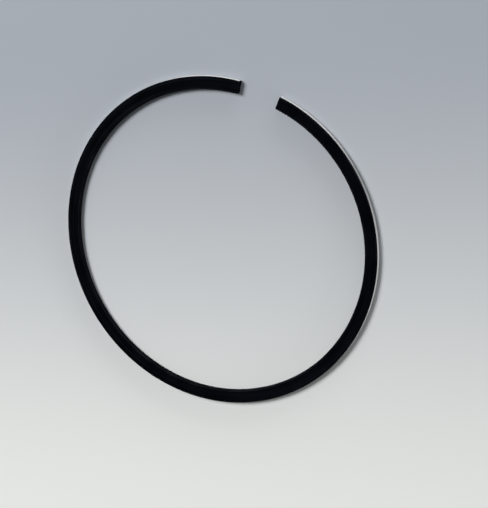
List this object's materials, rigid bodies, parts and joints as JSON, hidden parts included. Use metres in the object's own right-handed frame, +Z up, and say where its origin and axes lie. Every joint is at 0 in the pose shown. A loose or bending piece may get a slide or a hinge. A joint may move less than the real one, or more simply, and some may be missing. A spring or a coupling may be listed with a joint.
{
  "type": "piston ring",
  "caption": "Split compression ring for an engine piston: thin black ring of rectangular section, sprung open at a straight butt gap, with a bright barrel-shaped running face.",
  "frame": {"origin": "middle of the free ring's outline, on its lower side face", "axes": "+Z up along the ring's axis, +Y from the back of the ring towards its gap, +X to the right"},
  "size_m": [0.089, 0.0872, 0.0015],
  "materials": {
    "phosphated_iron": "black phosphate coat on the side faces, the inner face and the ends; bright lapped running face"
  },
  "bodies": {
    "root": {"compression_ring": "phosphated_iron"}
  },
  "joints": []
}
